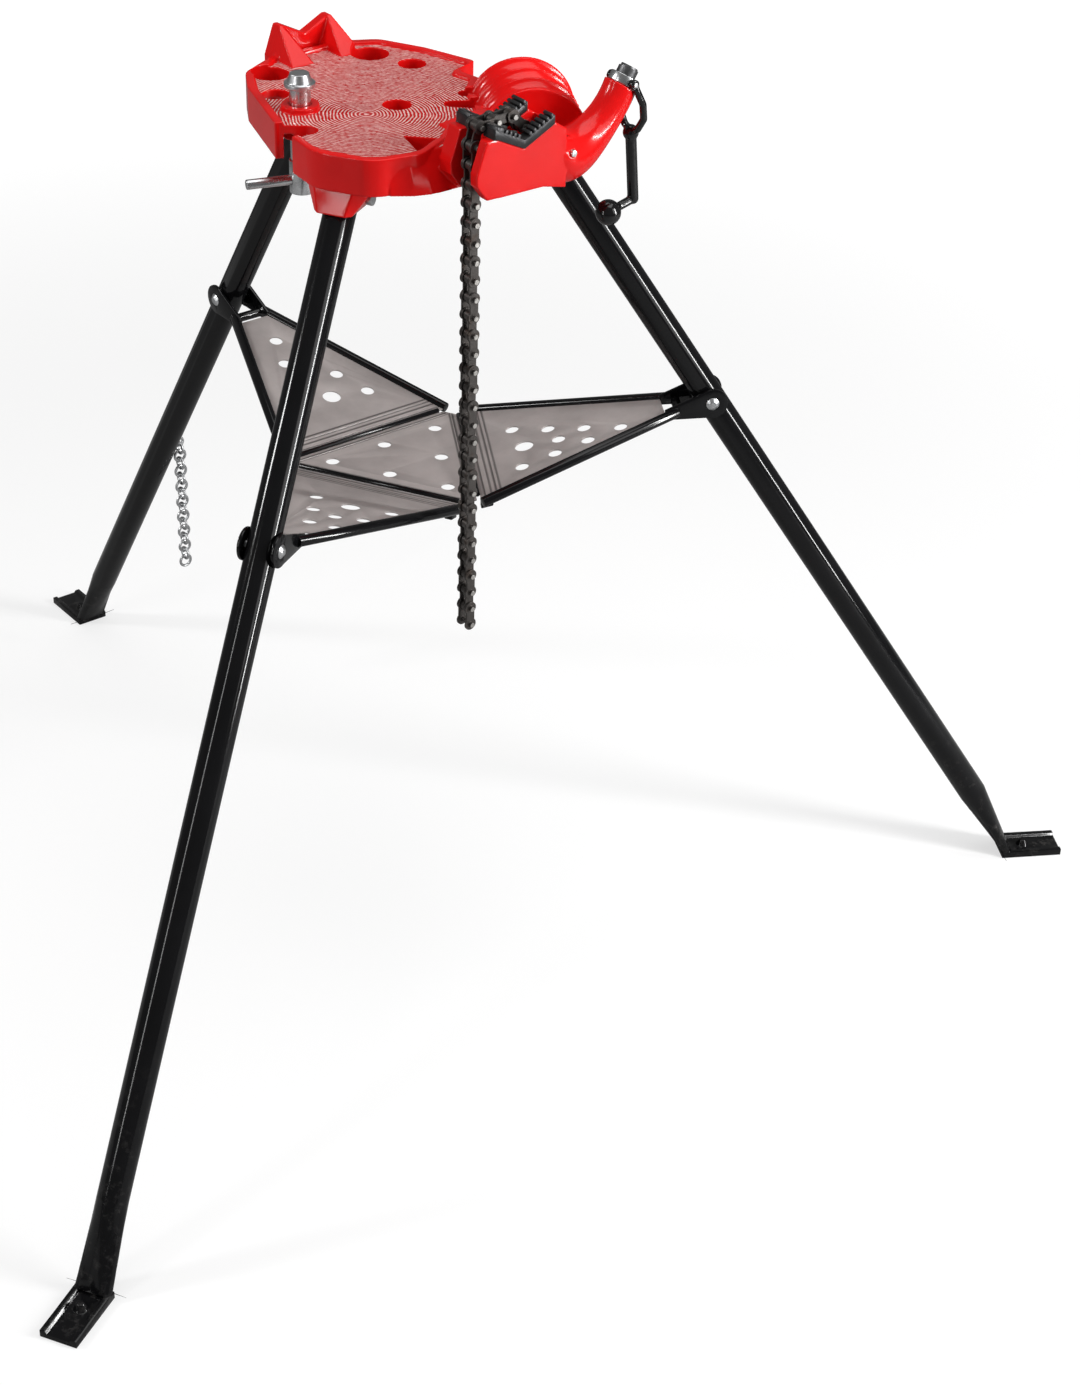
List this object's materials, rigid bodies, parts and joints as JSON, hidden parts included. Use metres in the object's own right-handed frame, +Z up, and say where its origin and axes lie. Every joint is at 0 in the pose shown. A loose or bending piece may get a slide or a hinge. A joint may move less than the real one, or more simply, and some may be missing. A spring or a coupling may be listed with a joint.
{
  "type": "chain pipe vise stand",
  "caption": "Tripod stand with a cast head, a V jaw with a roller chain and tension screw, a pipe bender drum, a rear pipe rest, a ceiling brace screw and a folding tray.",
  "frame": {"origin": "centre of the bounding box on the floor", "axes": "+Z up, +X along the clamped pipe towards the jaw, +Y towards the crank"},
  "size_m": [1.0948, 1.2464, 0.9206],
  "materials": {
    "red_paint": "glossy red enamel over a fine stippled casting",
    "black_legs": "glossy black paint",
    "black_frame": "satin black paint",
    "tray_paint": "satin grey-brown paint",
    "black_forging": "blackened forging, polished on its edges",
    "jaw_steel": "blackened hardened steel",
    "chain_steel": "oiled dark chain steel with bright pin heads",
    "zinc": "zinc plated",
    "bright_steel": "bright plated steel",
    "screw_steel": "dark threaded steel"
  },
  "bodies": {
    "head": {"base_casting": "red_paint", "chain_jaw": "jaw_steel", "jaw_bolts": "zinc", "channel_pin": "zinc", "leg_bolts": "zinc", "leg_bolt_nuts": "zinc"},
    "leg_front_left": {"leg_front_left": "black_legs", "tray_pin_front_left": "zinc"},
    "leg_front_right": {"leg_front_right": "black_legs", "tray_pin_front_right": "zinc"},
    "leg_rear": {"leg_rear": "black_legs", "tray_pin_rear": "zinc", "keeper_staple": "zinc"},
    "wing_front_left": {"tray_wing_front_left": "tray_paint", "wing_frame_front_left": "black_frame", "wing_hook_front_left": "black_frame"},
    "wing_front_right": {"tray_wing_front_right": "tray_paint", "wing_frame_front_right": "black_frame", "wing_hook_front_right": "black_frame"},
    "wing_rear": {"tray_wing_rear": "tray_paint", "wing_frame_rear": "black_frame"},
    "tray_centre": {"centre_panel": "tray_paint"},
    "tension_nut": {"tension_nut": "bright_steel"},
    "crank": {"crank_handle": "black_forging"},
    "screw": {"chain_screw": "screw_steel", "clevis_pin": "chain_steel", "chain_in_horn_pin_links": "chain_steel", "chain_in_horn_roller_links": "chain_steel"},
    "chain_over_jaw": {"chain_over_jaw_pin_links": "chain_steel", "chain_over_jaw_roller_links": "chain_steel"},
    "chain_hanging_1": {"chain_hanging_1_pin_links": "chain_steel", "chain_hanging_1_roller_links": "chain_steel"},
    "chain_hanging_2": {"chain_hanging_2_pin_links": "chain_steel", "chain_hanging_2_roller_links": "chain_steel"},
    "chain_hanging_3": {"chain_hanging_3_pin_links": "chain_steel", "chain_hanging_3_roller_links": "chain_steel"},
    "chain_hanging_4": {"chain_hanging_4_pin_links": "chain_steel", "chain_hanging_4_roller_links": "chain_steel"},
    "chain_hanging_5": {"chain_hanging_5_pin_links": "chain_steel", "chain_hanging_5_roller_links": "chain_steel"},
    "brace_cap": {"brace_cap": "zinc"},
    "brace_screw": {"brace_screw": "screw_steel"},
    "brace_bar": {"brace_bar": "zinc"},
    "keeper_chain": {"keeper_chain": "zinc"}
  },
  "joints": [
    {"name": "leg_front_left_fold", "type": "hinge", "parent": "head", "child": "leg_front_left", "pos_m": [0.23865, -0.10644, 0.822], "axis": [0.866, 0.5, 0], "range_deg": [0, 12]},
    {"name": "leg_front_right_fold", "type": "hinge", "parent": "head", "child": "leg_front_right", "pos_m": [0.23865, 0.10644, 0.822], "axis": [-0.866, 0.5, 0], "range_deg": [0, 12.1]},
    {"name": "leg_rear_fold", "type": "hinge", "parent": "head", "child": "leg_rear", "pos_m": [0.0389, 0, 0.822], "axis": [0, -1, 0], "range_deg": [0, 12.1]},
    {"name": "wing_front_left_fold", "type": "hinge", "parent": "leg_front_left", "child": "wing_front_left", "pos_m": [0.3233, -0.25305, 0.5618], "axis": [0.866, 0.5, 0], "range_deg": [-44.5, 0]},
    {"name": "wing_front_right_fold", "type": "hinge", "parent": "leg_front_right", "child": "wing_front_right", "pos_m": [0.3233, 0.25305, 0.5618], "axis": [-0.866, 0.5, 0], "range_deg": [-44.5, 0]},
    {"name": "wing_rear_fold", "type": "hinge", "parent": "leg_rear", "child": "wing_rear", "pos_m": [-0.1304, 0, 0.5618], "axis": [0, -1, 0], "range_deg": [-42.6, 0]},
    {"name": "tray_centre_drop", "type": "slide", "parent": "head", "child": "tray_centre", "axis": [0, 0, -1], "range_m": [0, 0.139]},
    {"name": "tension_nut_turn", "type": "hinge", "parent": "head", "child": "tension_nut", "pos_m": [0.3307, 0.12215, 0.90483], "axis": [0, -0.5534, -0.8329], "range_deg": [0, 115.2]},
    {"name": "tension_screw_rise", "type": "slide", "parent": "head", "child": "screw", "axis": [0, 0.5534, 0.8329], "range_m": [0, 0.0016]},
    {"name": "crank_swing", "type": "hinge", "parent": "tension_nut", "child": "crank", "pos_m": [0.3307, 0.12215, 0.90483], "axis": [1, 0, 0], "range_deg": [0, 150]},
    {"name": "chain_lift", "type": "hinge", "parent": "screw", "child": "chain_over_jaw", "pos_m": [0.3307, 0.01139, 0.88794], "axis": [-1, 0, 0], "range_deg": [0, 2]},
    {"name": "chain_swing_1", "type": "hinge", "parent": "chain_over_jaw", "child": "chain_hanging_1", "pos_m": [0.3307, -0.0398, 0.8808], "axis": [1, 0, 0], "range_deg": [-15, 5]},
    {"name": "chain_swing_2", "type": "hinge", "parent": "chain_hanging_1", "child": "chain_hanging_2", "pos_m": [0.3307, -0.0398, 0.7948], "axis": [1, 0, 0], "range_deg": [-25, 25]},
    {"name": "chain_swing_3", "type": "hinge", "parent": "chain_hanging_2", "child": "chain_hanging_3", "pos_m": [0.3307, -0.0398, 0.7088], "axis": [1, 0, 0], "range_deg": [-25, 25]},
    {"name": "chain_swing_4", "type": "hinge", "parent": "chain_hanging_3", "child": "chain_hanging_4", "pos_m": [0.3307, -0.0398, 0.6228], "axis": [1, 0, 0], "range_deg": [-25, 25]},
    {"name": "chain_swing_5", "type": "hinge", "parent": "chain_hanging_4", "child": "chain_hanging_5", "pos_m": [0.3307, -0.0398, 0.5196], "axis": [1, 0, 0], "range_deg": [-25, 25]},
    {"name": "brace_rise", "type": "slide", "parent": "head", "child": "brace_cap", "axis": [0, 0, 1], "range_m": [-0.0081, 0.0201]},
    {"name": "brace_turn", "type": "hinge", "parent": "brace_cap", "child": "brace_screw", "pos_m": [0.1469, -0.0895, 0.8905], "axis": [0, 0, 1], "range_deg": [-720, 1800]},
    {"name": "brace_bar_slide", "type": "slide", "parent": "brace_screw", "child": "brace_bar", "axis": [-0.2924, -0.9563, 0], "range_m": [-0.025, 0.025]},
    {"name": "keeper_swing", "type": "hinge", "parent": "leg_rear", "child": "keeper_chain", "pos_m": [-0.28642, 0.0209, 0.3175], "axis": [0, 1, 0], "range_deg": [-25, 10]}
  ],
  "couplings": [
    {"joint": "wing_front_left_fold", "follows": "leg_front_left_fold", "ratio": -3.7},
    {"joint": "leg_front_right_fold", "follows": "leg_front_left_fold", "ratio": 1},
    {"joint": "wing_front_right_fold", "follows": "leg_front_left_fold", "ratio": -3.7},
    {"joint": "leg_rear_fold", "follows": "leg_front_left_fold", "ratio": 1},
    {"joint": "wing_rear_fold", "follows": "leg_front_left_fold", "ratio": -3.54},
    {"joint": "tray_centre_drop", "follows": "leg_front_left_fold", "m_per_rad": 0.66},
    {"joint": "tension_nut_turn", "follows": "tension_screw_rise", "rad_per_m": 1256.6},
    {"joint": "brace_rise", "follows": "brace_turn", "m_per_rad": 0.00063662}
  ]
}
